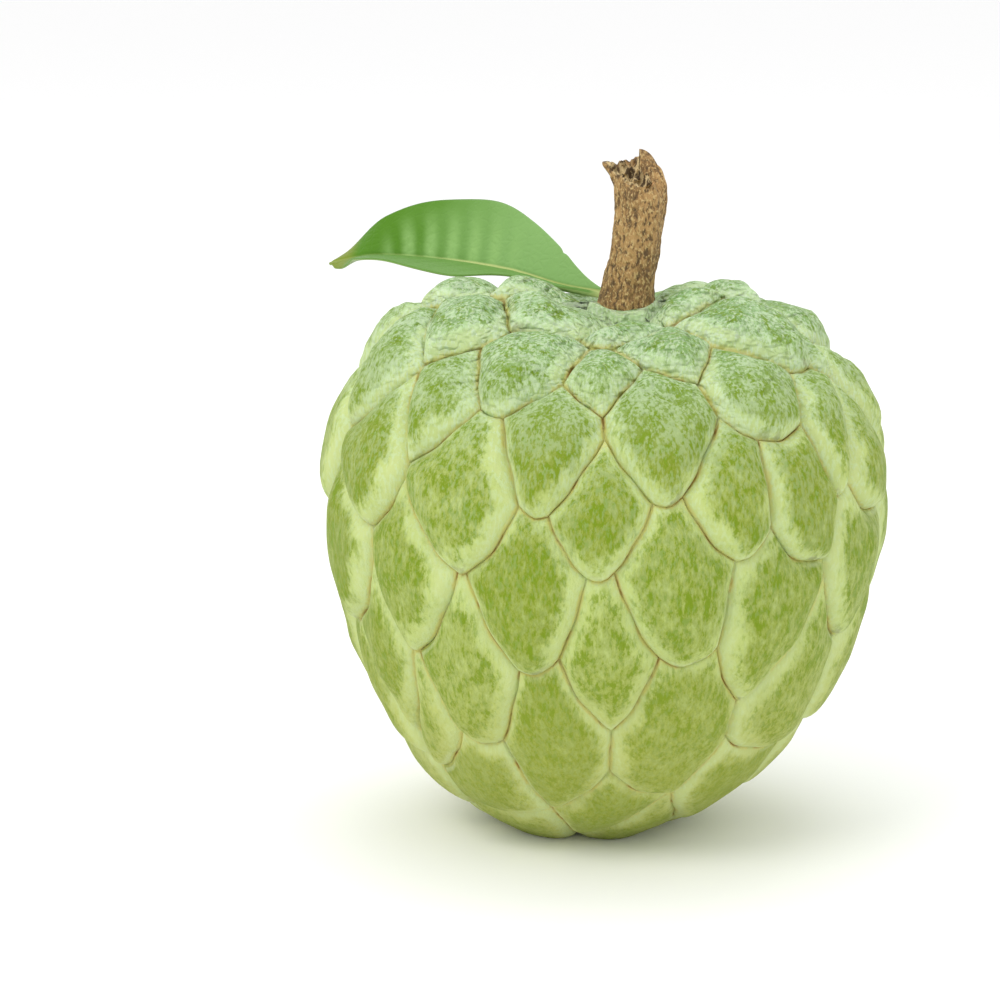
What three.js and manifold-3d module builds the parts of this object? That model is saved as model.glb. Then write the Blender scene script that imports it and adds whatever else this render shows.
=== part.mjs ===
// A ripe custard apple, torn from the tree with its stalk and one leaf, standing on its blossom end.
// Millimetres, +Z up. The origin is the middle of the flat spot the fruit rests on; -Y is its front.
// Polar angles run down the fruit's side: 0 at the stalk, 180 degrees at the blossom end.
// Azimuths run round it: 0 at the front (-Y), 90 degrees at the right (+X).

import * as THREE from 'three';
import { mergeVertices } from 'three/addons/utils/BufferGeometryUtils.js';
import Module from 'manifold-3d';

const wasm = await Module();
wasm.setup();

const { exp, sin, cos, tan, atan, atan2, acos, PI } = Math;
const { degToRad: radians, radToDeg, smoothstep, clamp } = THREE.MathUtils;

// ---------------------------------------------------------------- driving dimensions

// the heart-shaped body that the lobes stand on
const BODY_RADIUS = 46.1;
const BODY_HALF_HEIGHT = 44.9;
const SHOULDER_SHARE = 0.18; // how much wider the fruit is near its stalk than near its tip
const CHEEK_SHARE = 0.07; // rounds the shoulders and the tip, and flattens the flanks
const LEAN = 3.6; // the upper part sits this far to the right of the spot it rests on
const STALK_OFFSET = 2.9; // and the dimple is this far to the right of the upper part's middle
const STALK_OFFSET_RADIUS = 12;
const DIMPLE_DEPTH = 5.2;
const DIMPLE_RADIUS = 15.3;
const DIMPLE_CORE = 6; // the saddle fades out this far from the stalk
const SADDLE_DEPTH = 2.5; // the rim of the dimple is lower at front and back than at the sides
const SADDLE_RADIUS = 18;
const SADDLE_WIDTH = 14;
const BULGE = 2.25; // both shoulders swell upwards at the sides
const BULGE_MORE_LEFT = 1.5; // the left one by this much more, the right one by this much less
const BULGE_RADIUS = 33;
const BULGE_WIDTH = 9;
const REST_HEIGHT = 43.3; // the body's middle above the surface it rests on

// the lobes stand in whorls, one below another
// count: lobes in the whorl. drop: polar angle of the whorl. turn: azimuth of its first lobe.
// sag: how far it hangs down at the front. rise: how far it climbs to the right.
// crowd: how much its lobes close up at the front.
const WHORLS = [
  { count: 6, drop: 12, turn: 12, sag: 3, rise: 0, crowd: 8 },
  { count: 9, drop: 22, turn: -3, sag: 17, rise: 3, crowd: 25 },
  { count: 12, drop: 37, turn: 13, sag: 17, rise: 4, crowd: 7 },
  { count: 12, drop: 53, turn: -1, sag: 17, rise: 4, crowd: 3 },
  { count: 12, drop: 72, turn: 15, sag: 12, rise: 11, crowd: 4 },
  { count: 12, drop: 91, turn: 3, sag: 8, rise: 13, crowd: -3 },
  { count: 12, drop: 109, turn: 20, sag: 8, rise: 5, crowd: 0 },
  { count: 9, drop: 129, turn: 6, sag: 13, rise: -2, crowd: 0 },
  { count: 6, drop: 152, turn: 25, sag: 3, rise: 0, crowd: 0 },
];
const SAG_WIDTH = 45; // degrees
const WOBBLE = 1.5; // degrees that a lobe may stray from its even place
const WOBBLE_PACE = { aside: 4.9, down: 3.8 }; // radians from one lobe to the next
const LOBE_STRETCH = 0.68; // below 1, lobes are taller than they are wide

// single lobes that the rule doesn't give: degrees aside and down, and growth at their neighbours' cost
const STRAYS = new Map([
  [1, { aside: 2, down: 0, growth: -0.018 }],
  [6, { aside: 0, down: 0, growth: 0.004 }],
  [8, { aside: 1, down: -3, growth: -0.002 }],
  [9, { aside: 5, down: 2, growth: 0.016 }],
  [15, { aside: 3, down: 1, growth: 0.006 }],
  [16, { aside: 0, down: 0, growth: 0.013 }],
  [17, { aside: 0, down: -1, growth: 0.01 }],
  [18, { aside: 4, down: 0, growth: -0.012 }],
  [26, { aside: 0, down: 1, growth: 0 }],
  [27, { aside: 3, down: -1, growth: 0.01 }],
  [28, { aside: 1, down: -5, growth: 0.004 }],
  [29, { aside: 0, down: 2, growth: 0.006 }],
  [31, { aside: 0, down: 0, growth: -0.003 }],
  [39, { aside: -1, down: -2, growth: 0.008 }],
  [40, { aside: 0, down: 2, growth: 0.008 }],
  [41, { aside: 0, down: -4, growth: 0.003 }],
  [50, { aside: -1, down: 0, growth: 0 }],
  [51, { aside: -1, down: 0, growth: 0.002 }],
  [53, { aside: 0, down: 1, growth: 0.003 }],
  [63, { aside: -5, down: 0, growth: 0.005 }],
  [64, { aside: -2, down: 2, growth: 0.006 }],
  [74, { aside: -4, down: 0, growth: -0.008 }],
  [75, { aside: -1, down: 0, growth: 0.003 }],
  [76, { aside: 0, down: 2, growth: -0.006 }],
  [77, { aside: 0, down: 1, growth: 0 }],
]);
const NO_STRAY = { aside: 0, down: 0, growth: 0 };

// relief of a lobe over the groove round it
const GROOVE_SHOULDER = 3.1;
const GROOVE_FLANK = 2.0;
const GROOVE_TIP = 1.2;
const GROOVE_STEEPNESS = 6; // how fast a lobe rises out of its groove
const LOBE_CROWN = 0.9;
const LOBE_MOST_SWELL = 1.15;
const LOBE_SHINGLE = 0.9; // the lower end of a lobe stands proud, its upper end is tucked in
const SHINGLE_STEEPNESS = 8;
const RING_INSETS = [0.15, 0.45]; // share of the way from the groove to the lobe's middle
const BORDER_STEP = 4.2;
const NORMAL_STEP = 0.02; // on the unit sphere

// stalk: stations from the socket floor to the torn end
// up: height above the foot. out: how far to the right of the foot.
const STALK_STATIONS = [
  { up: -2.5, out: 0.0, radius: 3.9 },
  { up: 0.0, out: 0.1, radius: 4.3 },
  { up: 2.2, out: 0.3, radius: 4.15 },
  { up: 4.5, out: 0.6, radius: 3.95 },
  { up: 9.4, out: 1.5, radius: 3.8 },
  { up: 14.6, out: 2.1, radius: 3.95 },
  { up: 18.0, out: 2.2, radius: 3.9 },
  { up: 19.6, out: 2.1, radius: 3.85 },
  { up: 20.8, out: 1.9, radius: 3.75 },
];
const STALK_SIDES = 20;
const STALK_RIDGES = 7; // lengthwise ridges of the bark
const STALK_RIDGE_HEIGHT = 0.14;
const STALK_RIDGE_TWIST = 0.12; // radians per millimetre of height
const STALK_TEAR = 2; // the torn end is this much higher at the back left, and lower at the front right
const STALK_TEAR_TURN = 2; // radians from the right
const STALK_TEETH = 0.3; // the torn rim is this uneven
const STALK_SPUR = 1.7; // a splinter that sticks out to the left
const STALK_SPUR_WIDTH = 0.45; // radians
const STALK_FLAP_TURN = 0.45; // a flap of bark at the right, this many radians to the back, rises
const STALK_FLAP_RISE = 3.1;
const STALK_FLAP_ARCH = 2.3; // radians of the sine along which it rises and bends down again
const STALK_FLAP_FOLD = 0.85; // and folds over the torn wood by this share of the radius
const STALK_FLAP_EDGES = [0.35, 0.85]; // cosines of the angles where the flap ends and is whole
const STALK_HOLLOW = 1.2;
const STALK_TORN_STATIONS = 3; // the tear runs over the last stations
const SOCKET_STATIONS = 5; // and the socket's cutter reaches this far up

// leaf: its midrib runs from the stalk's foot to the left and back
const LEAF_SPINE = [
  [2.7, 2.7, 84.8],
  [-3.5, 8.3, 85.1],
  [-12.5, 16.6, 86.5],
  [-24, 24.8, 87.1],
  [-34.5, 31, 86.9],
  [-42.5, 33.8, 85.4],
];
const LEAF_STEM_HALF_WIDTH = 0.7;
const LEAF_HALF_WIDTH = 12;
const LEAF_TIP_SHARE = 0.15; // the tip is cut off at this share of its width
const LEAF_FAR_RISE = 54; // degrees above level
const LEAF_NEAR_RISE = 3;
const LEAF_DIP = 5.5; // the near half hangs this much lower in the hollow behind the fruit's rim
const LEAF_DIP_SHARE = 0.4;
const LEAF_DIP_WIDTH = 0.1;
const LEAF_BASE_NARROWING = 0.7; // share of its width that the near half lacks at the rim
const LEAF_BASE_SHARE = 0.24; // narrow up to here
const LEAF_FULL_SHARE = 0.42; // and at its full width from here
const LEAF_THICKNESS = 0.7;
const LEAF_RIB = 0.6; // extra thickness along the midrib
const LEAF_RIB_WIDTH = 1.2;
const LEAF_CURL_SHARE = 0.84; // from here to its tip the leaf opens flat
const LEAF_CURL = 0.75;
const LEAF_TIP_DROOP = 28; // and its near half droops
const LEAF_STEPS = 26;
const LEAF_HALF_STEPS = 5;
const LEAF_WAVE = 0.35;
const LEAF_WAVES = 5;

const GAP = 0.3; // air between two pieces that touch

// ---------------------------------------------------------------- the body

// Point of the body at a polar angle and an azimuth.
function bodyPoint(polar, azimuth) {
  const radius = BODY_RADIUS * sin(polar)
    * (1 + SHOULDER_SHARE * cos(polar) + CHEEK_SHARE * cos(2 * polar));
  let height = REST_HEIGHT + BODY_HALF_HEIGHT * cos(polar);
  if (polar < PI / 2) {
    const rim = exp(-(((radius - SADDLE_RADIUS) / SADDLE_WIDTH) ** 2))
      * (1 - exp(-((radius / DIMPLE_CORE) ** 2)));
    height -= DIMPLE_DEPTH * exp(-((radius / DIMPLE_RADIUS) ** 2));
    height -= SADDLE_DEPTH * cos(2 * azimuth) * cos(polar) * rim;
    height += (BULGE - BULGE_MORE_LEFT * sin(azimuth)) * sin(azimuth) ** 4 * cos(polar)
      * exp(-(((radius - BULGE_RADIUS) / BULGE_WIDTH) ** 2));
  }
  const lean = LEAN * (1 - ((1 - cos(polar)) / 2) ** 5)
    + (polar < PI / 2 ? STALK_OFFSET * exp(-((radius / STALK_OFFSET_RADIUS) ** 2)) : 0);
  return new THREE.Vector3(radius * sin(azimuth) + lean, -radius * cos(azimuth), height);
}

// The lobes are laid out on a unit sphere on which they are as tall as they are wide.
function toSphere(polar, azimuth) {
  const tilt = 2 * atan(tan(polar / 2) ** LOBE_STRETCH);
  return new THREE.Vector3(sin(tilt) * sin(azimuth), -sin(tilt) * cos(azimuth), cos(tilt));
}

function polarAngle(onSphere) {
  const tilt = acos(clamp(onSphere.z, -1, 1));
  return 2 * atan(tan(tilt / 2) ** (1 / LOBE_STRETCH));
}

function skinPoint(onSphere) {
  return bodyPoint(polarAngle(onSphere), atan2(onSphere.x, -onSphere.y));
}

// Outward normal of the skin, from two short steps across the sphere.
function skinNormal(onSphere) {
  const side = new THREE.Vector3(0, 1, 0).cross(onSphere);
  if (side.length() < 0.1) side.set(1, 0, 0).cross(onSphere);
  side.normalize();
  const up = onSphere.clone().cross(side);
  const stepTo = (direction, amount) => {
    const beside = onSphere.clone().addScaledVector(direction, amount).normalize();
    return skinPoint(beside);
  };
  const along = stepTo(side, NORMAL_STEP).sub(stepTo(side, -NORMAL_STEP));
  const across = stepTo(up, NORMAL_STEP).sub(stepTo(up, -NORMAL_STEP));
  return along.cross(across).normalize();
}

// ---------------------------------------------------------------- the lobes

// The site of a lobe is a direction; a site further out than the sphere claims more room.
function lobeSites() {
  const sites = [toSphere(radians(0.5), 0)];
  for (const whorl of WHORLS) {
    for (let i = 0; i < whorl.count; i += 1) {
      const even = whorl.turn + (360 / whorl.count) * i;
      const azimuth = even - whorl.crowd * sin(radians(even))
        + WOBBLE * sin(WOBBLE_PACE.aside * sites.length);
      const fromFront = ((azimuth + 540) % 360) - 180;
      const polar = whorl.drop + whorl.sag * exp(-((fromFront / SAG_WIDTH) ** 2))
        - whorl.rise * sin(radians(azimuth)) + WOBBLE * sin(WOBBLE_PACE.down * sites.length);
      const stray = STRAYS.get(sites.length) ?? NO_STRAY;
      const site = toSphere(radians(polar + stray.down), radians(azimuth + stray.aside));
      sites.push(site.multiplyScalar(1 + stray.growth));
    }
  }
  sites.push(toSphere(radians(179.5), 0));
  return sites;
}

// Corners where three lobes meet: the triples of sites whose plane has every other site on one side.
function lobeCorners(sites) {
  const corners = [];
  const n = sites.length;
  const normal = new THREE.Vector3();
  const edge = new THREE.Vector3();
  for (let a = 0; a < n; a += 1) {
    for (let b = a + 1; b < n; b += 1) {
      if (sites[a].dot(sites[b]) < 0.5) continue;
      for (let c = b + 1; c < n; c += 1) {
        if (sites[a].dot(sites[c]) < 0.5) continue;
        normal.subVectors(sites[b], sites[a]).cross(edge.subVectors(sites[c], sites[a])).normalize();
        if (normal.dot(sites[a]) < 0) normal.negate();
        const reach = normal.dot(sites[a]) + 1e-9;
        if (sites.every((site, s) => s === a || s === b || s === c || normal.dot(site) < reach)) {
          corners.push({ at: normal.clone(), lobes: [a, b, c] });
        }
      }
    }
  }
  return corners;
}

// Depth of the groove round the lobes: deepest on the shoulders, none on the resting spot.
function grooveDepth(polar) {
  const degrees = radToDeg(polar);
  const upper = GROOVE_SHOULDER + (GROOVE_FLANK - GROOVE_SHOULDER) * smoothstep(degrees, 35, 80);
  const lower = upper + (GROOVE_TIP - GROOVE_FLANK) * smoothstep(degrees, 90, 140);
  return lower * smoothstep(degrees, 4, 14) * (1 - smoothstep(degrees, 156, 172));
}

// The fruit's skin as one closed mesh: every lobe is a fan of rings inside the border it shares
// with its neighbours.
function fruitSkin() {
  const sites = lobeSites();
  const corners = lobeCorners(sites);
  const vertices = [];
  const triangles = [];

  const addVertex = (onSphere, lift) => {
    vertices.push(skinPoint(onSphere).addScaledVector(skinNormal(onSphere), lift));
    return vertices.length - 1;
  };
  const addBorderVertex = (onSphere) => ({
    at: onSphere,
    index: addVertex(onSphere, -grooveDepth(polarAngle(onSphere))),
  });

  for (const corner of corners) Object.assign(corner, addBorderVertex(corner.at));

  // the border between two lobes, cut into short steps once and used from both sides
  const borders = new Map();
  const borderSteps = (from, to) => {
    const [first, last] = from.index < to.index ? [from, to] : [to, from];
    const key = `${first.index}-${last.index}`;
    if (!borders.has(key)) {
      const length = vertices[first.index].distanceTo(vertices[last.index]);
      const steps = Math.max(1, Math.round(length / BORDER_STEP));
      const inner = [];
      for (let i = 1; i < steps; i += 1) {
        inner.push(addBorderVertex(first.at.clone().lerp(last.at, i / steps).normalize()));
      }
      borders.set(key, inner);
    }
    const inner = borders.get(key);
    return first === from ? inner : [...inner].reverse();
  };

  sites.forEach((site, lobe) => {
    const side = new THREE.Vector3(0.3, 1, 0).cross(site).normalize();
    const up = site.clone().cross(side);
    const bearing = (corner) => atan2(corner.at.dot(up), corner.at.dot(side));
    const around = corners.filter((corner) => corner.lobes.includes(lobe))
      .sort((a, b) => bearing(a) - bearing(b));
    const border = around.flatMap((corner, i) => [
      corner, ...borderSteps(corner, around[(i + 1) % around.length]),
    ]);

    const middle = new THREE.Vector3();
    for (const point of border) middle.add(point.at);
    middle.normalize();
    const middlePolar = polarAngle(middle);
    const depth = grooveDepth(middlePolar);
    const swell = Math.min(depth / GROOVE_FLANK, LOBE_MOST_SWELL); // a shallow groove has flat lobes
    const reach = Math.max(...border.map((point) => Math.abs(polarAngle(point.at) - middlePolar)));

    const liftAt = (onSphere, inset) => {
      const lower = (polarAngle(onSphere) - middlePolar) / reach;
      const crown = LOBE_CROWN * inset * (2 - inset);
      const shingle = LOBE_SHINGLE * lower * (1 - inset) * (1 - exp(-SHINGLE_STEEPNESS * inset));
      return swell * (crown + shingle) - depth * exp(-GROOVE_STEEPNESS * inset);
    };

    let ring = border.map((point) => point.index);
    for (const inset of RING_INSETS) {
      const next = border.map((point) => {
        const at = point.at.clone().lerp(middle, inset).normalize();
        return addVertex(at, liftAt(at, inset));
      });
      ring.forEach((corner, i) => {
        const j = (i + 1) % ring.length;
        triangles.push([corner, ring[j], next[j]], [corner, next[j], next[i]]);
      });
      ring = next;
    }
    const top = addVertex(middle, liftAt(middle, 1));
    ring.forEach((corner, i) => triangles.push([corner, ring[(i + 1) % ring.length], top]));
  });
  return { vertices, triangles };
}

// ---------------------------------------------------------------- closed meshes and solids

function toManifold({ vertices, triangles }) {
  return new wasm.Manifold(new wasm.Mesh({
    numProp: 3,
    vertProperties: new Float32Array(vertices.flatMap((v) => [v.x, v.y, v.z])),
    triVerts: new Uint32Array(triangles.flat()),
  }));
}

function toGeometry(solid) {
  const mesh = solid.getMesh();
  const geometry = new THREE.BufferGeometry();
  geometry.setAttribute('position', new THREE.BufferAttribute(new Float32Array(mesh.vertProperties), 3));
  geometry.setIndex(new THREE.BufferAttribute(new Uint32Array(mesh.triVerts), 1));
  geometry.computeVertexNormals();
  return geometry;
}

// A closed tube from rings of equal size; each end is a fan to a middle point.
function tube(rings, startMiddle, endMiddle) {
  const sides = rings[0].length;
  const vertices = [...rings.flat(), startMiddle, endMiddle];
  const start = vertices.length - 2;
  const end = vertices.length - 1;
  const triangles = [];
  for (let j = 0; j < sides; j += 1) {
    const k = (j + 1) % sides;
    for (let i = 0; i + 1 < rings.length; i += 1) {
      const low = i * sides;
      const high = low + sides;
      triangles.push([low + j, low + k, high + k], [low + j, high + k, high + j]);
    }
    const last = (rings.length - 1) * sides;
    triangles.push([k, j, start], [last + j, last + k, end]);
  }
  return { vertices, triangles };
}

function boxSolid(width, depth, height, middle) {
  const box = new THREE.BoxGeometry(width, depth, height).translate(...middle);
  box.deleteAttribute('normal');
  box.deleteAttribute('uv');
  const { attributes, index } = mergeVertices(box);
  return new wasm.Manifold(new wasm.Mesh({
    numProp: 3,
    vertProperties: attributes.position.array,
    triVerts: new Uint32Array(index.array),
  }));
}

// ---------------------------------------------------------------- the stalk

function stalkRing(foot, station, grow, torn) {
  const ring = [];
  const tear = smoothstep(torn, 0, 1);
  for (let j = 0; j < STALK_SIDES; j += 1) {
    const angle = (2 * PI * j) / STALK_SIDES;
    const bark = STALK_RIDGE_HEIGHT * sin(STALK_RIDGES * angle + STALK_RIDGE_TWIST * station.up);
    const flap = smoothstep(cos(angle - STALK_FLAP_TURN), ...STALK_FLAP_EDGES);
    const fold = 1 - STALK_FLAP_FOLD * flap * torn ** 3;
    const rise = STALK_FLAP_RISE * flap * sin(STALK_FLAP_ARCH * torn);
    const radius = (station.radius + bark + grow) * fold;
    const splinter = tear * STALK_SPUR * exp(-(((angle - PI) / STALK_SPUR_WIDTH) ** 2));
    const slant = STALK_TEAR * cos(angle - STALK_TEAR_TURN) + STALK_TEETH * sin(5 * angle);
    ring.push(new THREE.Vector3(
      foot.x + station.out + (radius + splinter) * cos(angle),
      foot.y + radius * sin(angle),
      foot.z + station.up + tear * slant + rise,
    ));
  }
  return ring;
}

function stalkSolid(foot) {
  const top = STALK_STATIONS.length - 1;
  const rings = STALK_STATIONS.map((station, i) => {
    const torn = Math.max(0, 1 - (top - i) / STALK_TORN_STATIONS);
    return stalkRing(foot, station, 0, torn);
  });
  const first = STALK_STATIONS[0];
  const last = STALK_STATIONS[top];
  const startMiddle = new THREE.Vector3(foot.x + first.out, foot.y, foot.z + first.up);
  const endMiddle = new THREE.Vector3(foot.x + last.out, foot.y, foot.z + last.up - STALK_HOLLOW);
  return toManifold(tube(rings, startMiddle, endMiddle));
}

// The stalk's lower end, grown by the gap on every side: it cuts the socket.
function socketSolid(foot) {
  const stations = STALK_STATIONS.slice(0, SOCKET_STATIONS).map((station) => ({ ...station }));
  stations[0].up -= GAP;
  const rings = stations.map((station) => stalkRing(foot, station, GAP, 0));
  const first = stations[0];
  const last = stations[stations.length - 1];
  const startMiddle = new THREE.Vector3(foot.x + first.out, foot.y, foot.z + first.up);
  const endMiddle = new THREE.Vector3(foot.x + last.out, foot.y, foot.z + last.up);
  return toManifold(tube(rings, startMiddle, endMiddle));
}

// ---------------------------------------------------------------- the leaf

// Half width of the blade at a share of its length: a narrow base, widest past the middle, and a
// drawn-out tip.
function leafHalfWidth(share) {
  const outline = sin(PI * share ** 1.33) ** 0.9 * (1 - 0.12 * share);
  return LEAF_STEM_HALF_WIDTH + LEAF_HALF_WIDTH * outline;
}

function leafSolid() {
  const spine = new THREE.CatmullRomCurve3(LEAF_SPINE.map((p) => new THREE.Vector3(...p)));
  const top = [];
  const bottom = [];
  for (let i = 0; i <= LEAF_STEPS; i += 1) {
    const share = i / LEAF_STEPS;
    const at = spine.getPointAt(share);
    const along = spine.getTangentAt(share);
    const level = new THREE.Vector3(-along.y, along.x, 0).normalize(); // to the near side of the blade
    const up = level.clone().cross(along).normalize();
    if (up.z < 0) up.negate();
    const half = leafHalfWidth(share) * (i === LEAF_STEPS ? LEAF_TIP_SHARE : 1);
    const curl = smoothstep(share, LEAF_CURL_SHARE, 1);
    const dip = LEAF_DIP * exp(-(((share - LEAF_DIP_SHARE) / LEAF_DIP_WIDTH) ** 2));
    const farRise = radians(LEAF_FAR_RISE * (1 - LEAF_CURL * curl));
    const nearRise = radians(LEAF_NEAR_RISE - dip - LEAF_TIP_DROOP * curl);
    const narrowing = LEAF_BASE_NARROWING * (1 - smoothstep(share, LEAF_BASE_SHARE, LEAF_FULL_SHARE));
    for (let j = -LEAF_HALF_STEPS; j <= LEAF_HALF_STEPS; j += 1) {
      const across = j / LEAF_HALF_STEPS; // -1 far edge, 1 near edge
      const rise = across < 0 ? farRise : nearRise;
      const width = half * (across < 0 ? 1 : 1 - narrowing) * Math.abs(across);
      const wave = LEAF_WAVE * across ** 2 * sin(2 * PI * LEAF_WAVES * share + across);
      const point = at.clone()
        .addScaledVector(level, Math.sign(across) * width * cos(rise))
        .addScaledVector(up, width * sin(rise) + wave * sin(PI * share));
      const tilt = Math.sign(across) * rise;
      const normal = up.clone().multiplyScalar(cos(tilt)).addScaledVector(level, -sin(tilt));
      const rib = LEAF_RIB * exp(-((width / LEAF_RIB_WIDTH) ** 2)) * (1 - 0.7 * share);
      top.push(point.clone().addScaledVector(normal, LEAF_THICKNESS / 2));
      bottom.push(point.clone().addScaledVector(normal, -LEAF_THICKNESS / 2 - rib));
    }
  }
  const row = 2 * LEAF_HALF_STEPS + 1;
  const offset = top.length;
  const triangles = [];
  const quad = (a, b, c, d) => triangles.push([a, c, b], [a, d, c]);
  for (let i = 0; i < LEAF_STEPS; i += 1) {
    for (let j = 0; j + 1 < row; j += 1) {
      const a = i * row + j;
      quad(a, a + 1, a + row + 1, a + row);
      quad(offset + a + row + 1, offset + a + 1, offset + a, offset + a + row);
    }
    const far = i * row;
    quad(far, far + row, offset + far + row, offset + far);
    const near = far + row - 1;
    quad(near, offset + near, offset + near + row, near + row);
  }
  for (let j = 0; j + 1 < row; j += 1) {
    quad(j, offset + j, offset + j + 1, j + 1);
    const k = LEAF_STEPS * row + j;
    quad(k, k + 1, offset + k + 1, offset + k);
  }
  return toManifold({ vertices: [...top, ...bottom], triangles });
}

// ---------------------------------------------------------------- assembly

const foot = bodyPoint(0, 0);
const fruitAll = toManifold(fruitSkin());
const ground = boxSolid(200, 200, 40, [0, 0, -20]);

const skin = new THREE.MeshStandardMaterial({ color: 0xa6b767, roughness: 0.62, metalness: 0 });
const bark = new THREE.MeshStandardMaterial({ color: 0xa0865a, roughness: 0.9, metalness: 0 });
const blade = new THREE.MeshStandardMaterial({ color: 0x84ab5f, roughness: 0.45, metalness: 0 });

function node(name, solid, material) {
  const mesh = new THREE.Mesh(toGeometry(solid), material);
  mesh.name = name;
  return mesh;
}

const group = new THREE.Group();
group.add(node('fruit', fruitAll.subtract(ground).subtract(socketSolid(foot)), skin));
group.add(node('stalk', stalkSolid(foot), bark));
group.add(node('leaf', leafSolid(), blade));

export default group;
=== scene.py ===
# %% [markdown]
# # A custard apple
# A custard apple is one flower's worth of fused berries. Every berry ends in a lobe on the skin, so
# the fruit looks as if it were covered with tall rounded scales. It stands here on its blossom
# end, with the torn stalk and one leaf still on it.
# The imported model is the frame: it gives the true size and place of the fruit, stalk and leaf.
# %% The frame
import itertools
import math

import bpy
import numpy as np
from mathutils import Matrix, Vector


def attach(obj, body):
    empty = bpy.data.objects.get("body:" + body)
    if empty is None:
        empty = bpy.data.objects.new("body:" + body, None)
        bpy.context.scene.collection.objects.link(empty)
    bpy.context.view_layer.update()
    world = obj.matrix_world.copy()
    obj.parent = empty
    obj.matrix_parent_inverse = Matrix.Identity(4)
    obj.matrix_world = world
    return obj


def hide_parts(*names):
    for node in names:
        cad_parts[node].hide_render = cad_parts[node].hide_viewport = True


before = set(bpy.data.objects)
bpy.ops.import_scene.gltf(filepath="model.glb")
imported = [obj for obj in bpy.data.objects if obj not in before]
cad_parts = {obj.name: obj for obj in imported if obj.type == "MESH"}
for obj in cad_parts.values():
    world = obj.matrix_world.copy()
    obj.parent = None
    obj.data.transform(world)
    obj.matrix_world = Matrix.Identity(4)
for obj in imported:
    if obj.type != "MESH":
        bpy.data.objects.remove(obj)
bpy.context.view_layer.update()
MM = 0.001

# %% [markdown]
# ## Light, floor and camera
# A fruit shows its relief best in wide soft light that has one bright side. Three large area
# lights do that, and a pale world fills what they leave dark. The floor is one large pale sheet.
# Small lamps would draw hard shadows in every groove, so none is used.
# %% Stage
scene = bpy.context.scene
scene.view_settings.view_transform = "Standard"

FLOOR_HALF = 9.0
floor_mesh = bpy.data.meshes.new("floor")
floor_mesh.from_pydata(
    [(-FLOOR_HALF, -FLOOR_HALF, 0), (FLOOR_HALF, -FLOOR_HALF, 0),
     (FLOOR_HALF, FLOOR_HALF, 0), (-FLOOR_HALF, FLOOR_HALF, 0)], [], [(0, 1, 2, 3)])
floor = bpy.data.objects.new("floor", floor_mesh)
scene.collection.objects.link(floor)

world = bpy.data.worlds.new("studio")
world.use_nodes = True
world.node_tree.nodes["Background"].inputs["Color"].default_value = (1, 1, 1, 1)
world.node_tree.nodes["Background"].inputs["Strength"].default_value = 1.0
scene.world = world
LIGHT_AIM = Vector((0, 0, 0.045))


def area_light(name, place, size, power, colour):
    """A square lamp at a place in metres, turned to face the middle of the fruit."""
    data = bpy.data.lights.new(name, "AREA")
    data.size = size
    data.energy = power
    data.color = colour
    lamp = bpy.data.objects.new(name, data)
    lamp.location = place
    lamp.rotation_euler = (LIGHT_AIM - Vector(place)).to_track_quat("-Z", "Y").to_euler()
    scene.collection.objects.link(lamp)


area_light("key", (-0.50, -0.55, 0.75), 0.5, 2.9, (1.0, 0.99, 0.96))
area_light("fill", (0.75, -0.55, 0.45), 0.6, 0.5, (0.97, 0.99, 1.0))
area_light("top", (0.05, 0.25, 0.90), 0.6, 1.8, (0.94, 0.98, 1.0))

# %% Camera
TARGET = Vector((2.9, 0.0, 43.3)) * MM  # the middle of the fruit
TARGET_PIXEL = (603, 554)  # where that point falls in a picture of 1000 x 1000 pixels
DISTANCE = 0.55
ELEVATION = math.radians(12)
FOCAL_PIXELS = 3465
PICTURE = 1000
SENSOR = 36.0

forward = Vector((0, math.cos(ELEVATION), -math.sin(ELEVATION)))
camera_data = bpy.data.cameras.new("camera")
camera_data.sensor_width = SENSOR
camera_data.lens = FOCAL_PIXELS / PICTURE * SENSOR
camera = bpy.data.objects.new("camera", camera_data)
camera.location = TARGET - forward * DISTANCE
yaw = math.atan((TARGET_PIXEL[0] - PICTURE / 2) / FOCAL_PIXELS)
pitch = math.atan((TARGET_PIXEL[1] - PICTURE / 2) / FOCAL_PIXELS)
camera.rotation_euler = (math.pi / 2 - ELEVATION + pitch, 0, yaw)
scene.collection.objects.link(camera)
scene.camera = camera

# %% [markdown]
# ## The body under the lobes
# Before the lobes there is a smooth heart-shaped body, as a baker would shape dough. It could be
# a sculpted mesh, but a formula in two angles is exact, quick and easy to change. The first angle
# runs down the side from the stalk (0) to the blossom end (180 degrees), the second round it
# from the front.
# %% Body
BODY_RADIUS = 46.1
BODY_HALF_HEIGHT = 44.9
SHOULDER_SHARE = 0.18
CHEEK_SHARE = 0.07
LEAN = 3.6
STALK_OFFSET = 2.9
STALK_OFFSET_RADIUS = 12
DIMPLE_DEPTH = 5.2
DIMPLE_RADIUS = 15.3
DIMPLE_CORE = 6
SADDLE_DEPTH = 2.5
SADDLE_RADIUS = 18
SADDLE_WIDTH = 14
BULGE = 2.25
BULGE_MORE_LEFT = 1.5
BULGE_RADIUS = 33
BULGE_WIDTH = 9
REST_HEIGHT = 43.3
LOBE_STRETCH = 0.68


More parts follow.
